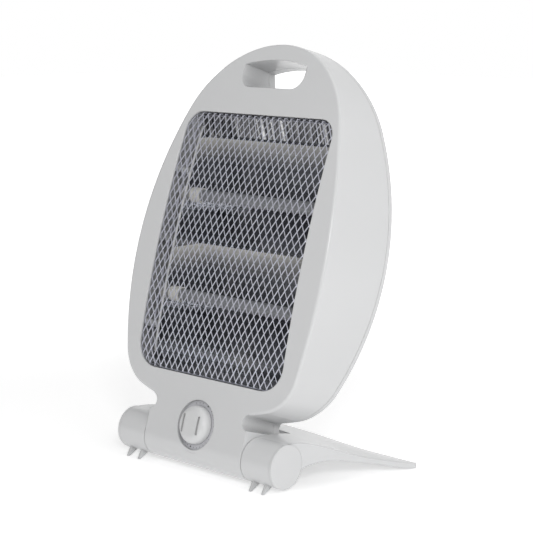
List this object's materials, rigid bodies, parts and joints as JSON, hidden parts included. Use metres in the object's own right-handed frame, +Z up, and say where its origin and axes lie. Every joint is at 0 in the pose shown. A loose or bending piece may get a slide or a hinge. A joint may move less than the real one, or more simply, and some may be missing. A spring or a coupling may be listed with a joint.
{
  "type": "quartz heater",
  "caption": "Tilting quartz heater with an egg-shaped head, diamond-mesh window, carrying slot, selector knob and a wide hinged foot.",
  "frame": {"origin": "on the floor, under the middle of the hinge axis", "axes": "+Z up, the front faces -Y, +X to the right of someone who looks at the front; the head leans back about 17 degrees at rest"},
  "size_m": [0.268, 0.1611, 0.3837],
  "materials": {
    "white_plastic": "white moulding, softly glossy",
    "knob_plastic": "white moulding, softly glossy",
    "dial_plastic": "white with printed marks",
    "mesh_steel": "plated expanded mesh",
    "reflector_sheet": "polished sheet",
    "quartz": "clear to milky quartz",
    "ceramic": null,
    "heating_wire": "oxidised resistance wire",
    "terminal_metal": "tinned tab",
    "dark_plastic": "black moulding",
    "live_insulation": "brown insulation",
    "neutral_insulation": "blue insulation",
    "zinc_steel": "zinc plated",
    "washer_plastic": "grey fibre",
    "pad_rubber": "soft pale grey rubber"
  },
  "bodies": {
    "stand": {"foot": "white_plastic", "end_cap_left": "white_plastic", "end_cap_right": "white_plastic", "spring_washer_left": "zinc_steel", "spring_washer_right": "zinc_steel", "friction_washer_left": "washer_plastic", "friction_washer_right": "washer_plastic", "foot_pads": "pad_rubber"},
    "head": {"front_housing": "white_plastic", "rear_cover": "white_plastic", "grille": "mesh_steel", "reflector": "reflector_sheet", "reflector_end_left": "reflector_sheet", "reflector_end_right": "reflector_sheet", "upper_tube": "quartz", "lower_tube": "quartz", "upper_coil": "heating_wire", "lower_coil": "heating_wire", "upper_caps": "ceramic", "lower_caps": "ceramic", "tube_terminals": "terminal_metal", "dial_plate": "dial_plastic", "rotary_switch": "dark_plastic", "switch_screws": "zinc_steel", "tilt_switch": "dark_plastic", "terminal_block": "dark_plastic", "cord_inlet": "dark_plastic", "live_wires": "live_insulation", "neutral_wires": "neutral_insulation", "reflector_screws": "zinc_steel", "cover_screws": "zinc_steel", "hinge_bolt_left": "zinc_steel", "hinge_bolt_right": "zinc_steel", "hinge_nut_left": "zinc_steel", "hinge_nut_right": "zinc_steel"},
    "knob": {"knob": "knob_plastic", "switch_shaft": "zinc_steel"}
  },
  "joints": [
    {"name": "head_tilt", "type": "hinge", "parent": "stand", "child": "head", "pos_m": [0, 0, 0.0232], "axis": [-1, 0, 0], "range_deg": [-17, 10]},
    {"name": "knob_turn", "type": "hinge", "parent": "head", "child": "knob", "pos_m": [0, -0.01403, 0.04562], "axis": [0, 0.9558, -0.294], "range_deg": [0, 190]}
  ]
}
